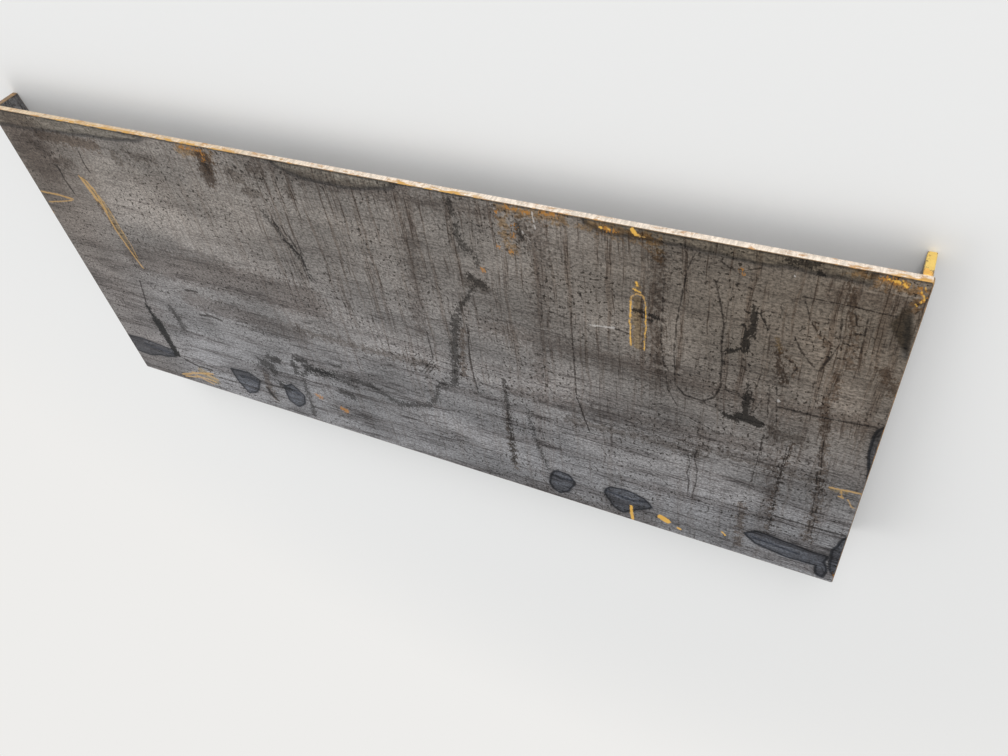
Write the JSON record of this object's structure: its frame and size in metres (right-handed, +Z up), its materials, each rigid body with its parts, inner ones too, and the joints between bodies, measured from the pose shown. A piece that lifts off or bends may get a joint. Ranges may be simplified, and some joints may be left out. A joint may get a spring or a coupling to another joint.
{
  "type": "steel attachment mounting plate",
  "caption": "Flat steel plate, clean on its face, with a welded hook lip, slotted pin lips, gussets and end flanges behind it, for mounting an attachment on a loader.",
  "frame": {"origin": "centre of the bounding box's underside, on the floor that the end flanges lie on", "axes": "+X along the plate's length, +Y towards the top edge, where the hook lip is, +Z up. The clean face looks up and leans 4.5 degrees towards +Y"},
  "size_m": [1.143, 0.494, 0.0788],
  "materials": {
    "plate": "hot-rolled mill scale, heat-tinted, with light rust",
    "flange": "hot-rolled mill scale with cut edges",
    "lip": "hot-rolled mill scale with cut edges",
    "gusset": "hot-rolled mill scale with cut edges",
    "weld": "unpainted fillet weld beads"
  },
  "bodies": {
    "root": {"face_plate": "plate", "end_flange_left": "flange", "end_flange_right": "flange", "top_lip": "lip", "bottom_lip_left": "lip", "bottom_lip_right": "lip", "gusset_left_outer": "gusset", "gusset_left_inner": "gusset", "gusset_right_inner": "gusset", "gusset_right_outer": "gusset"}
  },
  "joints": []
}
